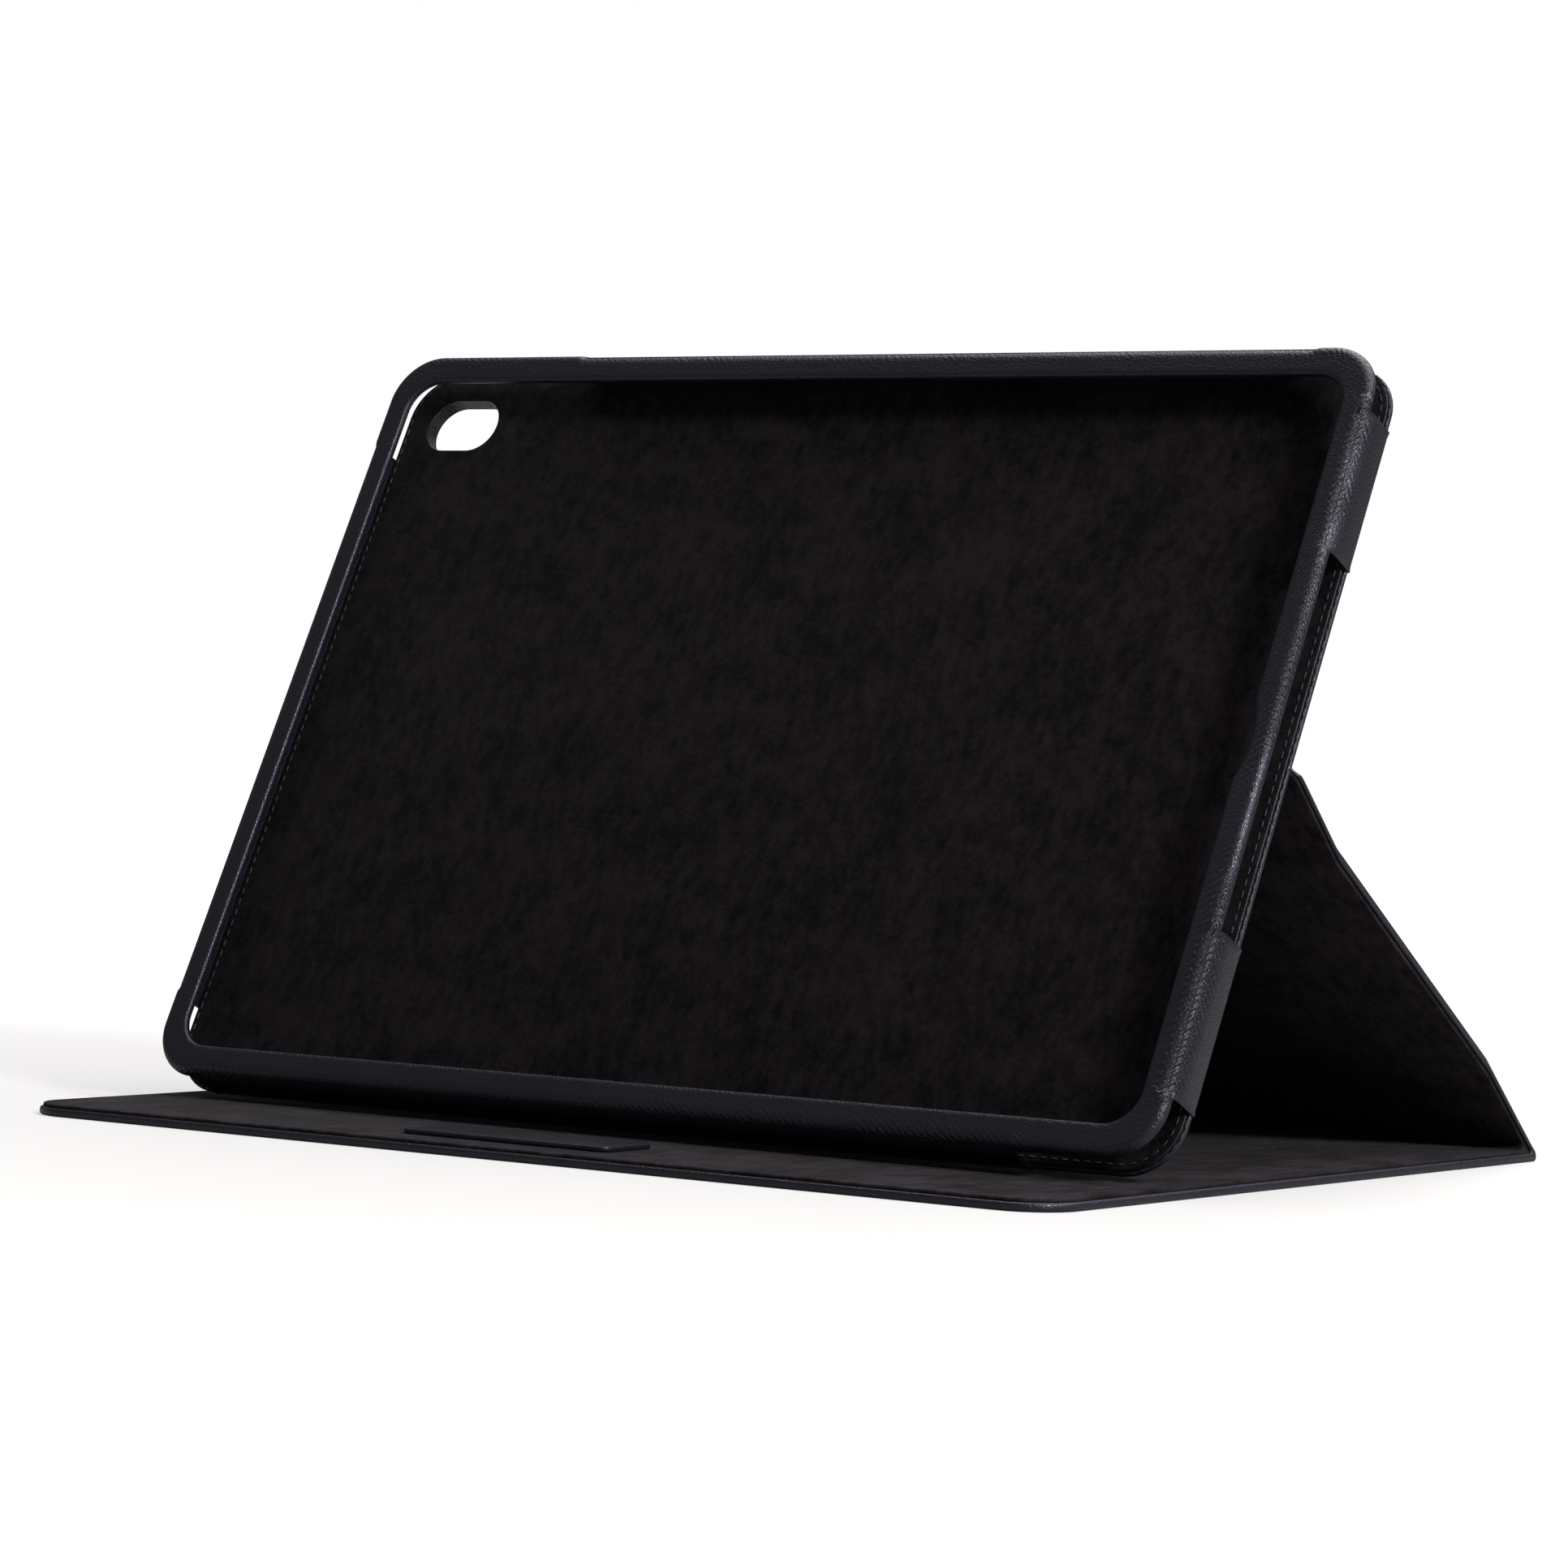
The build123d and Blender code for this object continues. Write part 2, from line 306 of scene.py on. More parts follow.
def rounded_corner(before, after, radius, steps):
    """Points of the arc that joins two lines, from the first one to the second."""
    corner = before.meet(after)
    turn = math.atan2(
        before.along.x * after.along.y - before.along.y * after.along.x,
        before.along.dot(after.along),
    )
    tangent = radius * MM * math.tan(abs(turn) / 2)
    start = corner - before.along * tangent
    centre = start + Vector((-before.along.y, before.along.x)) * math.copysign(radius * MM, turn)
    spoke = start - centre
    points = []
    for step in range(steps + 1):
        a = turn * step / steps
        points.append(centre + Vector((
            spoke.x * math.cos(a) - spoke.y * math.sin(a),
            spoke.x * math.sin(a) + spoke.y * math.cos(a),
        )))
    return points


def fold_path(before, after, start, end, radius, steps=14, runs=10):
    """A path along one line, round the fold and along the next line."""
    arc = rounded_corner(before, after, radius, steps)
    lead = [start.lerp(arc[0], i / runs) for i in range(runs)]
    trail = [arc[-1].lerp(end, (i + 1) / runs) for i in range(runs)]
    return lead + arc + trail


def layer(name, outer, inner, half_widths, columns, bevel):
    """A sheet with thickness: its outer and inner paths swept across the case.

    A grid is laid out flat, extruded once, and its rows are carried to the paths. The
    two long edges are rounded. The ends stay square, because the next sheet butts on.
    """
    start_fresh()
    rows = len(outer) - 1
    bpy.ops.mesh.primitive_grid_add(x_subdivisions=columns, y_subdivisions=rows, size=1)
    sheet = named(name)
    bpy.ops.object.mode_set(mode="EDIT")
    bpy.ops.mesh.select_all(action="SELECT")
    bpy.ops.mesh.extrude_region_move(TRANSFORM_OT_translate={"value": (0, 0, 1)})
    bpy.ops.object.mode_set(mode="OBJECT")
    side = []
    for vertex in sheet.data.vertices:
        row = round((vertex.co.y + 0.5) * rows)
        side.append(inner if vertex.co.z > 0.5 else outer)
        y, z = side[-1][row]
        vertex.co = (vertex.co.x * 2 * half_widths[row] * MM, y, z)
    bpy.ops.object.mode_set(mode="EDIT")
    bpy.ops.mesh.select_all(action="SELECT")
    bpy.ops.mesh.normals_make_consistent(inside=False)
    bpy.ops.object.mode_set(mode="OBJECT")
    edge = min(half_widths) * MM - 1e-5

    def long_edge(a, b):
        return min(abs(a.co.x), abs(b.co.x)) >= edge and side[a.index] is side[b.index]

    bevel_edges(sheet, long_edge, bevel, 3)
    smooth(sheet)
    return sheet


# ------------------------------------------------------------------- finishes
class Wire:
    """One socket of a material's nodes. Sums on wires add Math nodes."""

    def __init__(self, tree, socket=None):
        self.tree, self.socket = tree, socket

    def node(self, kind, sockets=None, output=0, **settings):
        """Adds a node: its settings first, then values or wires for its sockets."""
        made = self.tree.nodes.new(kind)
        for name, value in settings.items():
            setattr(made, name, value)
        for key, value in (sockets or {}).items():
            if isinstance(value, Wire):
                self.tree.links.new(value.socket, made.inputs[key])
            else:
                made.inputs[key].default_value = value
        return Wire(self.tree, made.outputs[output])

    def maths(self, operation, *values):
        """One Math node on this wire and the values after it."""
        sockets = dict(enumerate((self, *values)))
        return self.node("ShaderNodeMath", sockets, operation=operation)

    def __add__(self, other):
        return self.maths("ADD", other)

    __radd__ = __add__

    def __mul__(self, other):
        return self.maths("MULTIPLY", other)

    __rmul__ = __mul__

    def __sub__(self, other):
        return self.maths("SUBTRACT", other)

    def __rsub__(self, other):
        return (self * -1) + other

    def __abs__(self):
        return self.maths("ABSOLUTE")

    def clamped(self, low, high):
        """Rises smoothly from 0 at low to 1 at high."""
        return self.node(
            "ShaderNodeMapRange",
            {"Value": self, "From Min": low, "From Max": high},
            interpolation_type="SMOOTHSTEP",
        )


def begin_material(name):
    """A new material: its empty wire and its surface shader node."""
    material = bpy.data.materials.new(name)
    material.use_nodes = True
    tree = material.node_tree
    return material, Wire(tree), tree.nodes["Principled BSDF"]


def shade(wire, shader, colour, roughness, normal, **constants):
    """Connects what varies to the surface shader and sets what doesn't."""
    for key, value in (("Base Color", colour), ("Roughness", roughness), ("Normal", normal)):
        wire.tree.links.new(value.socket, shader.inputs[key])
    for key, value in constants.items():
        shader.inputs[key.replace("_", " ")].default_value = value


def noise(wire, place, scale, detail=2.0, roughness=0.5):
    """Cloudy noise, a value near 0.5."""
    return wire.node(
        "ShaderNodeTexNoise",
        {"Vector": place, "Scale": scale, "Detail": detail, "Roughness": roughness},
    )


def colour_mix(wire, amount, dark, light):
    """A colour between two, by an amount."""
    factor, first, second, result = 0, 6, 7, 2
    sockets = {factor: amount, first: (*dark, 1), second: (*light, 1)}
    return wire.node("ShaderNodeMix", sockets, output=result, data_type="RGBA")


def scaled(colour, factor):
    """A colour made lighter or darker."""
    return tuple(min(1.0, c * factor) for c in colour)


def leather_material(name, colour, wrinkled=False):
    """Pebbled dyed leather. The wrapped kind also has small folds along its crown."""
    material, wire, shader = begin_material(name)
    place = wire.node("ShaderNodeTexCoord", output=3)
    drift = wire.node(
        "ShaderNodeVectorMath",
        {0: wire.node("ShaderNodeTexNoise", {"Vector": place, "Scale": 500.0}, output=1),
         1: (0.0004, 0.0004, 0.0004)},
        operation="MULTIPLY",
    )
    warped = wire.node("ShaderNodeVectorMath", {0: place, 1: drift}, operation="ADD")
    cell = wire.node(
        "ShaderNodeTexVoronoi", {"Vector": warped, "Scale": 1150.0, "Randomness": 1.0},
        feature="DISTANCE_TO_EDGE",
    )
    pebble = cell.clamped(0.0, 0.22)
    fine = noise(wire, place, 3800.0, 3.0)
    broad = noise(wire, place, 45.0, 4.0, 0.6)
    height = pebble * 0.4 + fine * 0.12 + broad * 0.4
    if wrinkled:
        run = wire.node("ShaderNodeAttribute", output=2, attribute_name="run")
        crown = wire.node("ShaderNodeAttribute", output=2, attribute_name="crown")
        gather = wire.node("ShaderNodeAttribute", output=2, attribute_name="gather")
        lag = noise(wire, place, 160.0, 3.0) * 2.8
        phase = (run + abs(crown) * 1.15 + lag) * (2 * math.pi / 1.7)
        fold = phase.maths("SINE") * 0.5 + 0.5
        near = 1 - abs(crown).clamped(1.0, 5.0)
        patchy = noise(wire, place, 38.0, 2.0).clamped(0.38, 0.62)
        height = height + fold * near * patchy * gather * 3.4
    bump = wire.node(
        "ShaderNodeBump", {"Height": height, "Strength": 0.7, "Distance": 0.00013},
    )
    shade(
        wire, shader,
        colour_mix(wire, (broad * 0.6 + pebble * 0.4), scaled(colour, 0.7), scaled(colour, 1.35)),
        0.27 + broad * 0.12 + (1 - pebble) * 0.12,
        bump, IOR=1.5, Specular_IOR_Level=0.5, Specular_Tint=(0.88, 0.88, 1.0, 1.0),
    )
    return material


def suede_material(name, colour):
    """Brushed suede: short nap that leans in soft patches."""
    material, wire, shader = begin_material(name)
    place = wire.node("ShaderNodeTexCoord", output=3)
    nap = noise(wire, place, 2600.0, 4.0, 0.7)
    speck = noise(wire, place, 850.0, 3.0, 0.7)
    patch = noise(wire, place, 75.0, 5.0, 0.75)
    brushing = wire.node("ShaderNodeMapping", {"Vector": place, "Scale": (1.0, 0.2, 0.6)})
    brushed = noise(wire, brushing, 420.0, 3.0, 0.6)
    height = nap * 0.8 + speck * 1.0
    bump = wire.node(
        "ShaderNodeBump", {"Height": height, "Strength": 0.6, "Distance": 0.00025},
    )
    amount = (patch * 0.4 + speck * 0.25 + brushed * 0.35).clamped(0.38, 0.62)
    shade(
        wire, shader, colour_mix(wire, amount, scaled(colour, 0.35), scaled(colour, 1.7)),
        0.9 + nap * 0.1, bump, Sheen_Weight=0.04, Sheen_Roughness=0.5,
        Specular_IOR_Level=0.02,
    )
    return material


def thread_material(name, colour):
    """Waxed twisted thread."""
    material, wire, shader = begin_material(name)
    place = wire.node("ShaderNodeTexCoord", output=3)
    ply = wire.node(
        "ShaderNodeTexWave", {"Vector": place, "Scale": 900.0, "Distortion": 2.0},
        output=1, bands_direction="DIAGONAL",
    )
    fuzz = noise(wire, place, 5000.0, 2.0)
    bump = wire.node(
        "ShaderNodeBump", {"Height": ply + fuzz * 0.4, "Strength": 0.5, "Distance": 0.00008},
    )
    shade(
        wire, shader, colour_mix(wire, ply, scaled(colour, 0.6), scaled(colour, 1.4)),
        0.38 + fuzz * 0.15, bump,
    )
    return material


def board_material(name):
    """Grey-black fibre board."""
    material, wire, shader = begin_material(name)
    place = wire.node("ShaderNodeTexCoord", output=3)
    fibre = noise(wire, place, 900.0, 5.0, 0.7)
    bump = wire.node("ShaderNodeBump", {"Height": fibre, "Strength": 0.3, "Distance": 0.0001})
    shade(
        wire, shader, colour_mix(wire, fibre, (0.012, 0.012, 0.013), (0.03, 0.03, 0.032)),
        0.8 + fibre * 0.15, bump,
    )
    return material


def magnet_material(name):
    """Nickel-plated steel with faint brushing."""
    material, wire, shader = begin_material(name)
    place = wire.node("ShaderNodeTexCoord", output=3)
    grain = noise(wire, place, 1200.0, 3.0)
    bump = wire.node("ShaderNodeBump", {"Height": grain, "Strength": 0.1, "Distance": 0.0001})
    shade(
        wire, shader, colour_mix(wire, grain, (0.5, 0.5, 0.5), (0.65, 0.64, 0.62)),
        0.25 + grain * 0.15, bump, Metallic=1.0,
    )
    return material


def floor_material(name, colour):
    """Matt table top. To the camera alone it also glows, as painted light that makes it look
    pale.
    """
    material, wire, shader = begin_material(name)
    place = wire.node("ShaderNodeTexCoord", output=3)
    grain = noise(wire, place, 30.0, 3.0)
    bump = wire.node("ShaderNodeBump", {"Height": grain, "Strength": 0.02, "Distance": 0.001})
    shade(
        wire, shader, colour_mix(wire, grain, scaled(colour, 0.99), scaled(colour, 1.01)),
        0.6 + grain * 0.05, bump, Specular_IOR_Level=0.2, Emission_Strength=1.0,
    )
    # Painted light: seen by the camera alone, the floor glows at about half strength near the
    # case, rising to full from 0.9 m out, so that it reads white to the horizon.
    reach = wire.node("ShaderNodeVectorMath", {0: place}, output=1, operation="LENGTH")
    seen = wire.node("ShaderNodeLightPath")
    painted_glow_spread = reach.clamped(0.14, 0.9) * 0.53 + 0.47
    painted_glow = colour_mix(wire, seen * painted_glow_spread, (0.0, 0.0, 0.0), (1.0, 1.0, 1.0))
    wire.tree.links.new(painted_glow.socket, shader.inputs["Emission Color"])
    return material


def finish(name):
    """A finish by name, made when it is first asked for."""
    if name in bpy.data.materials:
        return bpy.data.materials[name]
    dyes = bpy.context.scene.folio_colours
    makers = {
        "black_leather": lambda: leather_material(name, dyes.leather),
        "wrapped_leather": lambda: leather_material(name, dyes.leather, wrinkled=True),
        "brushed_suede": lambda: suede_material(name, dyes.suede),
        "tray_suede": lambda: suede_material(name, scaled(dyes.suede, 0.45)),
        "waxed_thread": lambda: thread_material(name, dyes.thread),
        "fibre_board": lambda: board_material(name),
        "plated_magnet": lambda: magnet_material(name),
        "floor_painted_glow": lambda: floor_material(name, dyes.floor),
    }
    return makers[name]()


# ---------------------------------------------------------------- front cover
# In mm. Behind the split the cover's two layers run on over the nose.
COVER_SPLIT = 60.0
COVER_FRONT = -93.0
COVER_HALF_W = 121.5
COVER_CORNER_R = 11
LEATHER_TOP, LEATHER_RIM = 1.7, 0.6
SUEDE_TOP, SUEDE_RIM, SUEDE_INSET = 2.4, 0.28, 0.7
STRIP_CORNER_R, STRIP_RIM = 1.5, 0.35


class FOLIO_OT_front_cover(bpy.types.Operator):
    """Model the flat front cover, its suede and the strip that stops the tray"""

    bl_idname = "folio.front_cover"
    bl_label = "Front cover"

    def execute(self, context):
        free = ((False, False), (True, False))

        def at_split(point):
            return point.y > (COVER_SPLIT - NEARLY) * MM

        shell = slab(
            "cover_shell", (-COVER_HALF_W, COVER_FRONT, 0),
            (COVER_HALF_W, COVER_SPLIT, LEATHER_TOP), free, COVER_CORNER_R,
        )
        round_rims(shell, LEATHER_RIM * MM, at_split)
        smooth(shell)
        finish_piece(shell, finish("black_leather"), "front_cover",
                     ["front_cover_leather"])
        suede = slab(
            "cover_suede", (SUEDE_INSET - COVER_HALF_W, COVER_FRONT + SUEDE_INSET, LEATHER_TOP),
            (COVER_HALF_W - SUEDE_INSET, COVER_SPLIT, SUEDE_TOP), free,
            COVER_CORNER_R - SUEDE_INSET,
        )
        round_rims(suede, SUEDE_RIM * MM, at_split)
        smooth(suede)
        finish_piece(suede, finish("brushed_suede"), "front_cover",
                     ["front_cover_lining"])
        low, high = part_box("stop_strip")
        strip = slab("tray_stop", low / MM, high / MM, ALL_CORNERS, STRIP_CORNER_R)
        round_rims(strip, STRIP_RIM * MM)
        smooth(strip)
        finish_piece(strip, finish("black_leather"), "front_cover", ["stop_strip"])
        return {"FINISHED"}


# --------------------------------------------------------------------- folds
def tray_line(height):
    """The line of the side view that runs up the tray at a height above the glass."""
    up = Vector((math.cos(TILT), math.sin(TILT)))
    out = Vector((-math.sin(TILT), math.cos(TILT)))
    return Line(GLASS.yz + out * height * MM, up)


def folio_lines(rises):
    """The folio's side profile from the cover to the tray, at one level of its layers."""
    cover_z, spine, stand, flap, tray_h = rises
    return [
        Line(Vector((0, cover_z * MM)), (1, 0)),
        Line(FOLD["cover_fold"], FOLD["spine_fold"] - FOLD["cover_fold"], spine),
        Line(FOLD["spine_fold"], FOLD["flap_fold"] - FOLD["spine_fold"], stand),
        Line(FOLD["flap_fold"], FOLD["back_fold"] - FOLD["flap_fold"], flap),
        tray_line(tray_h),
    ]


# Levels from the outside in: leather, the face between leather and suede, suede.
LEVELS = (
    (0.0, 1.2, 1.2, 1.0, -10.3),
    (1.7, 0.2, -0.2, 0.1, -9.2),
    (2.4, -0.4, -1.0, -0.6, -8.35),
)
FOLD_NAMES = ("cover_fold", "spine_fold", "flap_fold", "back_fold")
# The bodies that the folds join, and half the width of the leather on each (mm).
HALF_WIDTHS = (COVER_HALF_W, 121.0, 121.0, 121.0, 118.8)
FOLD_RADII = ((1.3, 0.5, 0.9), (9.0, 8.0, 7.0), (8.0, 9.0, 10.0), (1.2, 1.6, 2.2))
TRAY_BUTT = 4.0
STRAIGHT_ROWS = 8
# Where each fold bends: a direction in the side view, and its start and end along it (mm).
BENDS = (
    ((0.349, 0.937), 0.1, 2.3),
    ((-0.798, 0.603), -3.0, 3.0),
    ((-0.783, 0.622), -3.0, 3.0),
    ((-0.174, 0.985), -2.2, 2.2),
)


def ends_of(lines, number):
    """Where a fold's sheet starts and ends on its two lines."""
    before, after = lines[number], lines[number + 1]

    def half_way(line, a, b):
        middle = (FOLD[a] + FOLD[b]) / 2
        return line.point + line.along * (middle - line.point).dot(line.along)

    if number == 0:
        start = Vector((COVER_SPLIT * MM, before.point.y))
    else:
        start = half_way(before, FOLD_NAMES[number - 1], FOLD_NAMES[number])
    if number == 3:
        end = after.point + after.along * TRAY_BUTT * MM
    else:
        end = half_way(after, FOLD_NAMES[number], FOLD_NAMES[number + 1])
    return start, end


class FOLIO_OT_folds(bpy.types.Operator):
    """Model the leather and the suede that run on over each of the four folds"""

    bl_idname = "folio.folds"
    bl_label = "Folds"

    def execute(self, context):
        shape = context.scene.folio_shape
        replaced = (
            (["cover_fold_leather", "spine_leather"], ["spine_lining"]),
            (["spine_fold_leather", "stand_panel_leather"], ["stand_panel_lining"]),
            (["flap_fold_leather", "hinge_flap_leather"], ["hinge_flap_lining"]),
            (["back_fold_leather"], []),
        )
        profiles = [folio_lines(level) for level in LEVELS]
        for number, fold_name in enumerate(FOLD_NAMES):
            paths = []
            for lines, radius in zip(profiles, FOLD_RADII[number]):
                start, end = ends_of(lines, number)
                paths.append(fold_path(lines[number], lines[number + 1], start, end, radius))
            rows = len(paths[0])
            wide, wide_after = HALF_WIDTHS[number:number + 2]
            across = []
            for row in range(rows):
                t = ease((row - STRAIGHT_ROWS) / (rows - 1 - 2 * STRAIGHT_ROWS))
                across.append(wide + (wide_after - wide) * t)
            direction, first, last = BENDS[number]
            middle = FOLD[fold_name]
            span = [(0, *(middle + Vector(direction) * d * MM)) for d in (first, last)]
            leather, suede = (
                ("leather", 0.0, shape.edge_bevel, "black_leather", "leather"),
                ("suede", SUEDE_INSET, SUEDE_RIM * MM, "brushed_suede", "lining"),
            )
            for (sort, inset, rim, material, slot), outer, inner, nodes in (
                (leather, paths[0], paths[1], replaced[number][0]),
                (suede, paths[1], paths[2], replaced[number][1]),
            ):
                sheet = layer(
                    f"{fold_name}_{sort}", outer, inner, [w - inset for w in across],
                    shape.columns, rim,
                )
                finish_piece(sheet, finish(material), None, nodes)
                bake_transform(sheet)
        return {"FINISHED"}


# --------------------------------------------------------- bezel and its walls
# In mm. Across the tray: the wrap's outside, the window, and how the edges are shaped.
OUT_X, OUT_U, OUT_R = 120.8, 85.55, 11.7
WINDOW_X, WINDOW_U, WINDOW_R = 114.3, 78.4, 7.0
LIP_INSET, LIP_R = 0.7, 1.9
WALL_END_INSET, DEEPER, TUCK = 0.35, 1.45, 0.55
WALL_EASE, WALL_START = 1.3, 0.02
FACE_H, LIP_LOW, WALL_LOW = 1.7, 0.25, -8.3
# The turned edge beside the window: steps outwards from the window, and heights.
WINDOW_EDGE = ((0.0, LIP_LOW), (0.0, 0.95), (0.12, 1.38), (0.42, 1.63), (1.0, FACE_H))
NOTCH_HALF, NOTCH_DEEP = 8.5, 1.5
WRAP_RIM = 0.22
# How strongly the leather gathers into small folds along each side.
GATHERED = {"right": 1.0, "top": 0.12, "left": 0.3, "bottom": 0.3, "corner": 0.2}


def evenly(low, high, spacing):
    """Places from low up to high, not counting high, at most a spacing apart."""
    count = max(1, math.ceil((high - low) / spacing))
    return [low + (high - low) * i / count for i in range(count)]


def stations(spacing=0.6):
    """Places round the tray, anticlockwise from the right side's lower corner.

    Each is its outer point, its normal, its window point and how much of a wall it has.
    """
    half_x, half_u = OUT_X - OUT_R, OUT_U - OUT_R
    win_x, win_u = WINDOW_X - WINDOW_R, WINDOW_U - WINDOW_R
    arc_r = (NOTCH_HALF**2 + NOTCH_DEEP**2) / (2 * NOTCH_DEEP)
    found = []
    for number, side in enumerate(("right", "top", "left", "bottom")):
        turn = Matrix.Rotation(math.radians(90 * number), 2)
        reach, half = (OUT_X, half_u) if number % 2 == 0 else (OUT_U, half_x)
        near, win = (WINDOW_X, win_u) if number % 2 == 0 else (WINDOW_U, win_x)
        breaks = sorted({-half, half, *(end for span in WALL_SPANS[side] for end in span)})
        places = [p for a, b in zip(breaks, breaks[1:]) for p in evenly(a, b, spacing)]
        for p in places:
            wall = 0.0
            for low, high in WALL_SPANS[side]:
                if low <= p <= high:
                    wall = ease(min(p - low, high - p) / WALL_EASE + WALL_START)
            notch = 0.0
            if side == "right" and abs(p) < NOTCH_HALF:
                notch = NOTCH_DEEP - arc_r + math.sqrt(arc_r**2 - p * p)
            found.append((
                turn @ Vector((reach, p)), turn @ Vector((1, 0)),
                turn @ Vector((near + notch, p * win / half)), wall, side,
            ))
        for a in evenly(0, 90, 90 * spacing / (OUT_R * math.pi / 2)):
            spoke = Vector((math.cos(math.radians(a)), math.sin(math.radians(a))))
            outer = Vector((reach - OUT_R, half)) + spoke * OUT_R
            inner = Vector((near - WINDOW_R, win)) + spoke * WINDOW_R
            found.append((turn @ outer, turn @ spoke, turn @ inner, 0.0, "corner"))
    return found


ARC_ROWS, WALL_ROWS, FACE_ROWS = 8, 8, 4


def wrap_profile(station, bullnose):
    """A station's points from the window's edge over the bezel and down the wall."""
    outer, normal, window, wall = station[:4]
    radius = LIP_R + (bullnose - LIP_R) * wall
    edge = outer - normal * LIP_INSET * (1 - wall)
    points = [(window + normal * d, h) for d, h in WINDOW_EDGE]
    first, last = points[-1][0], edge - normal * radius
    points += [(first.lerp(last, i / FACE_ROWS), FACE_H) for i in range(1, FACE_ROWS)]
    drop = radius * (1 + (DEEPER - 1) * wall)
    for i in range(ARC_ROWS + 1):
        a = math.pi / 2 * i / ARC_ROWS
        points.append((last + normal * radius * math.sin(a), FACE_H - drop * (1 - math.cos(a))))
    low = FACE_H - drop
    for i in range(1, WALL_ROWS + 1):
        t = i / WALL_ROWS
        tuck = TUCK * t * t * wall + WALL_END_INSET * (1 - wall)
        points.append((outer - normal * tuck, low + (WALL_LOW - low) * t))
    return points


class FOLIO_OT_bezel(bpy.types.Operator):
    """Model the one leather wrap that is the tray's bezel and its walls"""

    bl_idname = "folio.bezel"
    bl_label = "Bezel and walls"

    def execute(self, context):
        shape = context.scene.folio_shape
        bullnose = shape.bullnose / MM
        places = stations()
        columns = len(places)
        rows = len(WINDOW_EDGE) + FACE_ROWS - 1 + ARC_ROWS + WALL_ROWS
        start_fresh()
        bpy.ops.mesh.primitive_grid_add(x_subdivisions=columns, y_subdivisions=rows, size=1)
        wrap = named("bezel_wrap")
        run = wrap.data.attributes.new("run", "FLOAT", "POINT")
        crown = wrap.data.attributes.new("crown", "FLOAT", "POINT")
        gather = wrap.data.attributes.new("gather", "FLOAT", "POINT")
        profiles = [wrap_profile(station, bullnose) for station in places]
        crown_row = rows - WALL_ROWS - ARC_ROWS // 2
        travelled = [0.0]
        for a, b in zip(places, places[1:] + places[:1]):
            travelled.append(travelled[-1] + (b[0] - a[0]).length)
        column_of, row_of = [], []
        for vertex in wrap.data.vertices:
            column = round((vertex.co.x + 0.5) * columns)
            row = round((vertex.co.y + 0.5) * rows)
            column_of.append(column)
            row_of.append(row)
            profile = profiles[column % columns]
            place, height = profile[row]
            vertex.co = Vector((*place, height)) * MM
            middle, middle_height = profile[crown_row]
            reach = math.hypot((place - middle).length, height - middle_height)
            run.data[vertex.index].value = travelled[column]
            crown.data[vertex.index].value = math.copysign(reach, row - crown_row)
            at_join = min(column, columns - column) < 2
            gather.data[vertex.index].value = 0 if at_join else GATHERED[places[column][4]]
        wall_row = rows - WALL_ROWS

        def no_wall(face):
            at = [column_of[i] % columns for i in face.vertices]
            low = min(row_of[i] for i in face.vertices) >= wall_row
            return low and any(places[c][3] == 0.0 for c in at)

        pick(wrap, "FACE", no_wall)
        bpy.ops.mesh.delete(type="FACE")
        bpy.ops.mesh.select_mode(type="VERT")
        bpy.ops.mesh.select_all(action="SELECT")
        bpy.ops.mesh.remove_doubles(threshold=1e-6)
        bpy.ops.mesh.normals_make_consistent(inside=False)
        bpy.ops.object.mode_set(mode="OBJECT")
        face = max(wrap.data.polygons, key=lambda f: f.center.z)
        if face.normal.z < 0:
            bpy.ops.object.mode_set(mode="EDIT")
            bpy.ops.mesh.select_all(action="SELECT")
            bpy.ops.mesh.flip_normals()
            bpy.ops.object.mode_set(mode="OBJECT")
        apply(wrap, "SOLIDIFY", thickness=shape.wrap_thickness, offset=-1, use_even_offset=True)
        apply(wrap, "BEVEL", width=WRAP_RIM * MM, segments=2, limit_method="ANGLE",
              angle_limit=math.radians(55))
        smooth(wrap, 40)
        into_tray(wrap)
        finish_piece(wrap, finish("wrapped_leather"), "tray", [
            "bezel_leather", "top_wall", "bottom_wall", "left_wall", "right_upper_wall",
            "right_lower_wall",
        ])
        return {"FINISHED"}


# --------------------------------------------------------------- tray's plates
# In mm, in the tray's own plane. Each plate: its inset, lower and upper face and rim.
PLATE_X, PLATE_U, PLATE_R = 120.1, 84.85, 11.0
PLATES = (
    ("tray_cloth", 0.6, -6.8, -6.3, 0.22, "tray_suede", "lining", "tray_lining"),
    ("inner_plate", 0.6, -7.3, -6.8, 0.18, "black_leather", "leather", "tray_inner_board"),
    ("outer_plate", 0.0, -8.3, -7.3, 0.35, "black_leather", "leather", "tray_back_leather"),
)
PANEL_X, PANEL_TOP, PANEL_LOW, PANEL_HIGH = 118.8, 83.0, -10.3, -8.35
PANEL_R, PANEL_RIM = 10, 0.6


class FOLIO_OT_back_plates(bpy.types.Operator):
    """Model the tray's two plates, its lining and the folio's rear panel"""

    bl_idname = "folio.back_plates"
    bl_label = "Back plates"

    def execute(self, context):
        for name, inset, low, high, rim, material, slot, node in PLATES:
            half_x, half_u = PLATE_X - inset, PLATE_U - inset
            plate = slab(
                name, (-half_x, -half_u, low), (half_x, half_u, high),
                ALL_CORNERS, PLATE_R - inset,
            )
            round_rims(plate, rim * MM)
            cut_slot(plate)
            smooth(plate)
            into_tray(plate)
            finish_piece(plate, finish(material), "tray", [node])
        panel = slab(
            "rear_panel", (-PANEL_X, TRAY_BUTT, PANEL_LOW), (PANEL_X, PANEL_TOP, PANEL_HIGH),
            ((False, True), (True, True)), PANEL_R,
        )
        round_rims(panel, PANEL_RIM * MM, lambda point: point.y < (TRAY_BUTT + NEARLY) * MM)
        cut_slot(panel)
        smooth(panel)
        into_tray(panel)
        finish_piece(panel, finish("black_leather"), "tray", ["rear_panel_leather"])
        return {"FINISHED"}


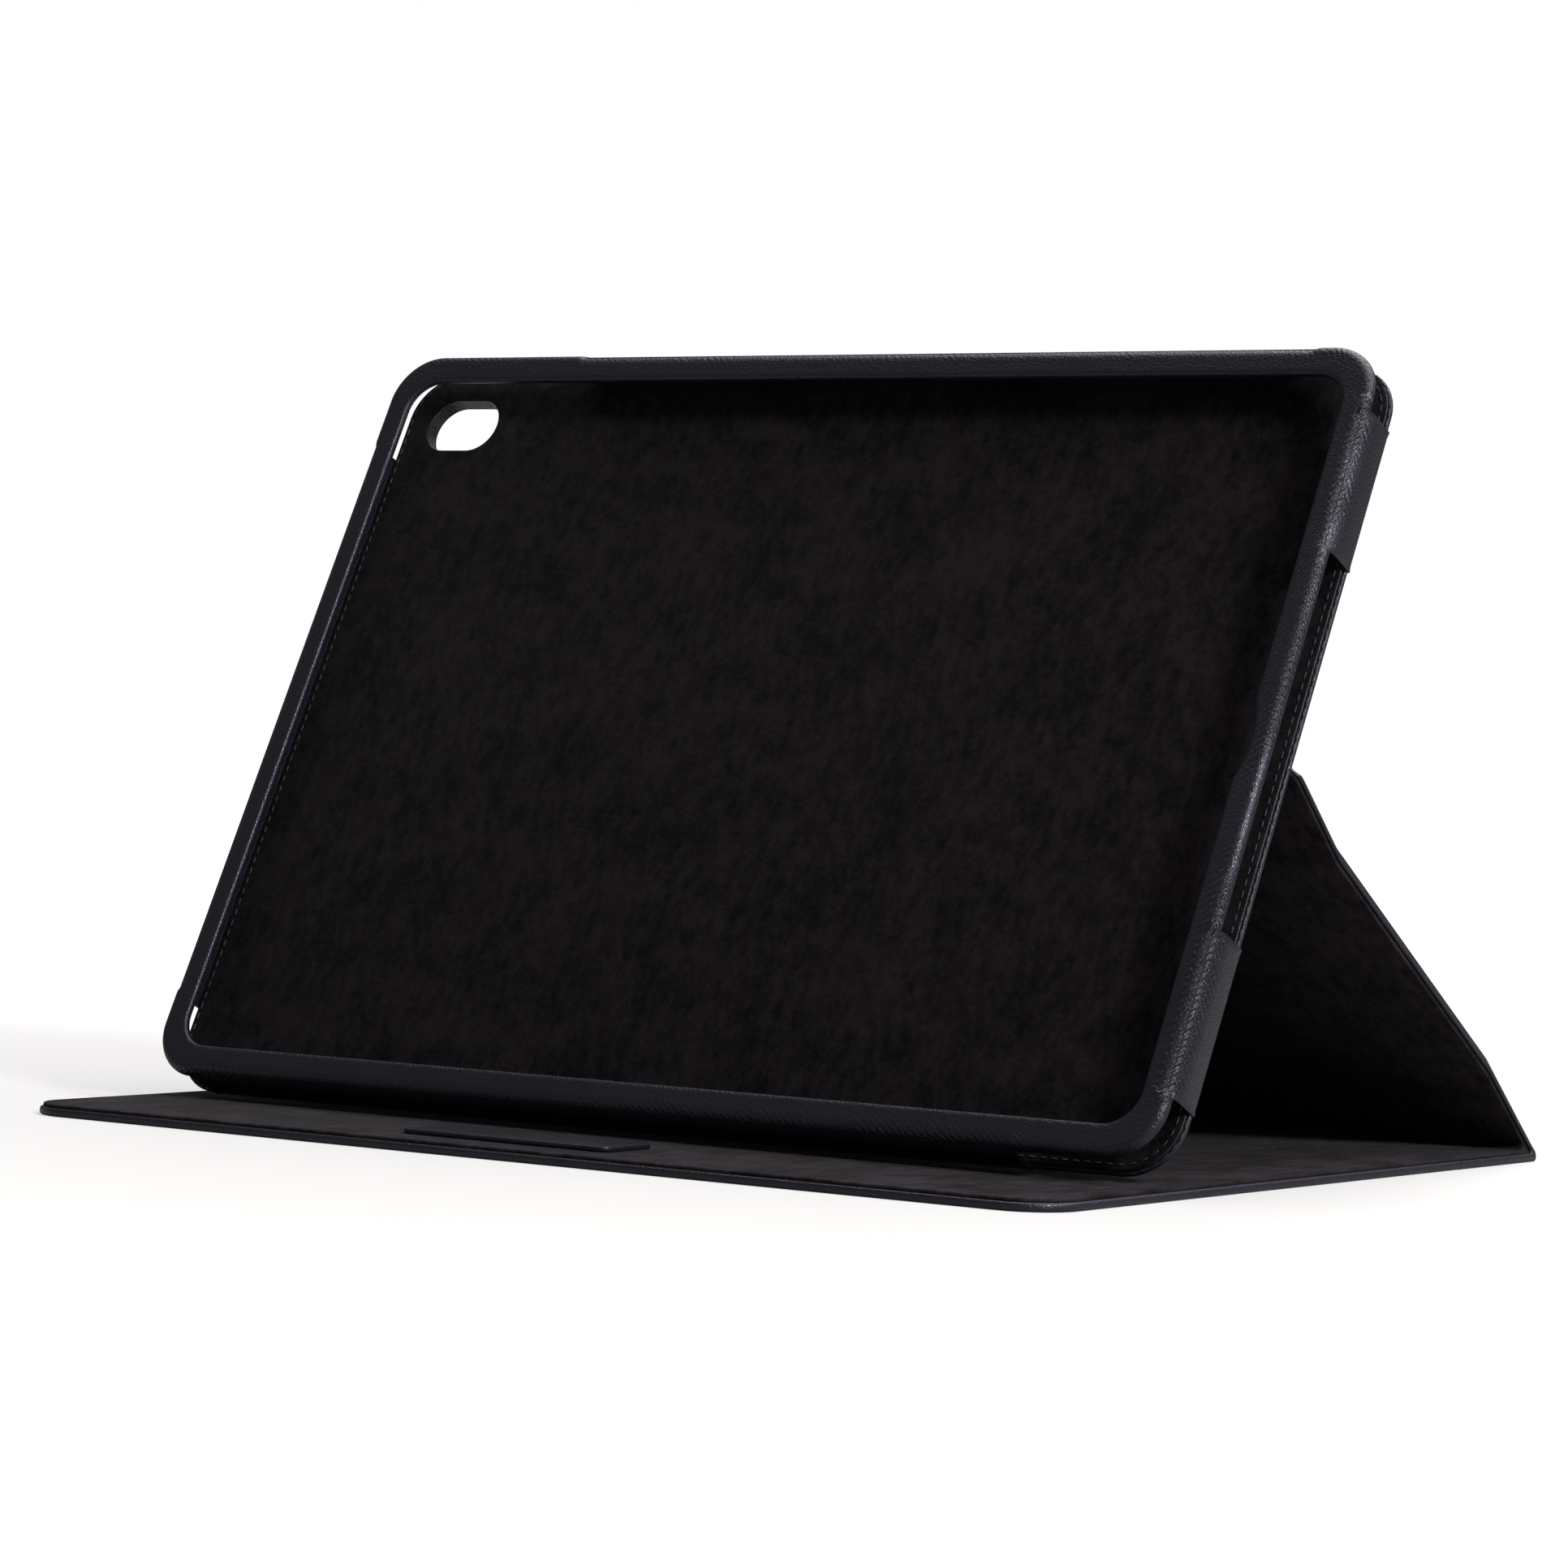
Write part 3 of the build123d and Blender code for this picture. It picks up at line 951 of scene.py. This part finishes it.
# ------------------------------------------------------------------- stitching
# Each seam in mm: half its width and height, corner radius, middle and height.
SEAMS = (
    ("rear_panel_stitches", 115.4, 37.1, 5.0, 42.5, -10.36, "back_seam_thread"),
    ("inner_stitches", 118.5, 83.2, 9.4, 0.0, -6.22, "inner_seam_thread"),
    ("outer_stitches", 119.8, 84.55, 10.7, 0.0, -7.22, "outer_seam_thread"),
)
# A stitch's share of the pitch, its width and its thickness (mm).
STITCH_FILL, STITCH_W, STITCH_T = 0.68, 0.34, 0.28


def seam_curve(half_x, half_u, radius, centre_u):
    """A closed flat curve along a seam: a rectangle with rounded corners."""
    curve = bpy.data.curves.new("seam", "CURVE")
    curve.dimensions = "2D"
    points = []
    for number, (sx, su) in enumerate(((1, 1), (-1, 1), (-1, -1), (1, -1))):
        middle = Vector((sx * (half_x - radius), centre_u + su * (half_u - radius)))
        for step in range(9):
            a = math.radians(90 * number + 90 * step / 8)
            points.append(middle + radius * Vector((math.cos(a), math.sin(a))))
    spline = curve.splines.new("POLY")
    spline.points.add(len(points) - 1)
    for target, point in zip(spline.points, points):
        target.co = (*(point * MM), 0, 1)
    spline.use_cyclic_u = True
    line = bpy.data.objects.new("seam", curve)
    bpy.context.scene.collection.objects.link(line)
    length = sum((a - b).length for a, b in zip(points, points[1:] + points[:1]))
    return line, length * MM


class FOLIO_OT_stitching(bpy.types.Operator):
    """Sew the three seams: one stitch is modelled, repeated and bent along its seam"""

    bl_idname = "folio.stitching"
    bl_label = "Stitching"

    def execute(self, context):
        pitch = context.scene.folio_shape.stitch_pitch
        for name, half_x, half_u, radius, centre_u, height, node in SEAMS:
            line, length = seam_curve(half_x, half_u, radius, centre_u)
            count = round(length / pitch)
            start_fresh()
            bpy.ops.mesh.primitive_uv_sphere_add(
                segments=8, ring_count=6, radius=0.5, location=(0, 0, 0),
                rotation=(0, math.pi / 2, 0),
            )
            thread = named(name)
            settle(thread)
            thread.scale = (pitch * STITCH_FILL, STITCH_W * MM, STITCH_T * MM)
            settle(thread)
            apply(thread, "ARRAY", count=count, use_relative_offset=False,
                  use_constant_offset=True, constant_offset_displace=(length / count, 0, 0))
            apply(thread, "CURVE", object=line, deform_axis="POS_X")
            bpy.data.objects.remove(line)
            thread.location.z = height * MM
            settle(thread)
            smooth(thread, 80)
            into_tray(thread)
            finish_piece(thread, finish("waxed_thread"), "tray", [node])
        return {"FINISHED"}


class FOLIO_OT_inner_parts(bpy.types.Operator):
    """Give the boards, the card and the magnets inside the leather their finishes"""

    bl_idname = "folio.inner_parts"
    bl_label = "Inner parts"

    def execute(self, context):
        for name, node in frame["nodes"].items():
            if node.hide_render:
                continue
            kind = "plated_magnet" if "magnet" in name else "fibre_board"
            if name == "bezel_stiffener":
                kind = "tray_suede"
            node.data.materials.clear()
            node.data.materials.append(finish(kind))
        return {"FINISHED"}


# ----------------------------------------------------------------------- stage
# The camera: its place, how it is turned, tipped and rolled (degrees), and its lens (mm).
EYE_PLACE = (0.60683, -0.86868, 0.08662)
EYE_TURN, EYE_TIP, EYE_ROLL = 35.048, 90 - 0.8463, 2.006
EYE_LENS, EYE_SENSOR = 121.27, 36.0
# In metres: the floor's side, and the point that the side lights face.
FLOOR_SIZE = 24
CASE_MIDDLE = (0.1, 0, 0.08)


def softbox(name, place, target, width, depth, power):
    """A rectangular studio light that faces a point."""
    light = bpy.data.lights.new(name, "AREA")
    light.shape, light.size, light.size_y = "RECTANGLE", width, depth
    light.energy = power
    lamp = bpy.data.objects.new(name, light)
    lamp.location = place
    aim = Vector(target) - Vector(place)
    lamp.rotation_euler = aim.to_track_quat("-Z", "Y").to_euler()
    bpy.context.scene.collection.objects.link(lamp)


class FOLIO_OT_stage(bpy.types.Operator):
    """Set the floor, the studio lights and the camera"""

    bl_idname = "folio.stage"
    bl_label = "Stage"

    def execute(self, context):
        scene = context.scene
        power = scene.folio_light
        start_fresh()
        bpy.ops.mesh.primitive_plane_add(size=FLOOR_SIZE, location=(0, 0, 0))
        floor = named("table_top")
        # The floor's material glows to the camera alone: painted light.
        floor.data.materials.append(finish("floor_painted_glow"))
        softbox("overhead", (0.2, 0.9, 2.0), (0, 0, 0), 3.0, 2.4, power.overhead)
        softbox("right_side", (2.1, 0.5, 0.9), CASE_MIDDLE, 1.0, 1.2, power.side)
        softbox("glint", (1.78, -0.5, 1.12), CASE_MIDDLE, 0.35, 0.35, power.glint)
        world = bpy.data.worlds.new("studio")
        world.use_nodes = True
        scene.world = world
        tree = world.node_tree
        room = Wire(tree)
        seen = room.node("ShaderNodeLightPath")
        amount = seen * (1.0 - power.ambient) + power.ambient
        tree.links.new(amount.socket, tree.nodes["Background"].inputs["Strength"])
        tree.nodes["Background"].inputs["Color"].default_value = (1, 1, 1, 1)
        camera = bpy.data.cameras.new("camera")
        camera.lens, camera.sensor_width = EYE_LENS, EYE_SENSOR
        camera.clip_start = 0.05
        eye = bpy.data.objects.new("camera", camera)
        scene.collection.objects.link(eye)
        eye.matrix_world = (
            Matrix.Translation(EYE_PLACE)
            @ Matrix.Rotation(math.radians(EYE_TURN), 4, "Z")
            @ Matrix.Rotation(math.radians(EYE_TIP), 4, "X")
            @ Matrix.Rotation(math.radians(EYE_ROLL), 4, "Z")
        )
        scene.camera = eye
        scene.view_settings.view_transform = "Standard"
        return {"FINISHED"}


# ----------------------------------------------------------------------- panel
OPERATORS = (
    FOLIO_OT_stage,
    FOLIO_OT_front_cover,
    FOLIO_OT_folds,
    FOLIO_OT_bezel,
    FOLIO_OT_back_plates,
    FOLIO_OT_stitching,
    FOLIO_OT_inner_parts,
)


class FOLIO_PT_build(bpy.types.Panel):
    """Settings and build steps of the folio"""

    bl_idname = "FOLIO_PT_build"
    bl_label = "Tablet folio case"
    bl_space_type = "VIEW_3D"
    bl_region_type = "UI"
    bl_category = "Folio"

    def draw(self, context):
        for group in (
            context.scene.folio_shape, context.scene.folio_colours, context.scene.folio_light,
        ):
            box = self.layout.box()
            for name in group.__annotations__:
                box.prop(group, name)
        for operator in OPERATORS:
            self.layout.operator(operator.bl_idname)


CLASSES = (FolioShape, FolioColours, FolioLight, *OPERATORS, FOLIO_PT_build)
GROUPS = {"folio_shape": FolioShape, "folio_colours": FolioColours, "folio_light": FolioLight}


def register():
    """Makes the settings, the operators and the panel known to Blender."""
    for cls in CLASSES:
        bpy.utils.register_class(cls)
    for name, group in GROUPS.items():
        setattr(bpy.types.Scene, name, PointerProperty(type=group))


def unregister():
    """Takes them away again."""
    for name in GROUPS:
        delattr(bpy.types.Scene, name)
    for cls in reversed(CLASSES):
        bpy.utils.unregister_class(cls)


def main():
    """Builds the whole folio."""
    register()
    for operator in OPERATORS:
        space, step = operator.bl_idname.split(".")
        getattr(getattr(bpy.ops, space), step)()


if __name__ == "__main__":
    main()
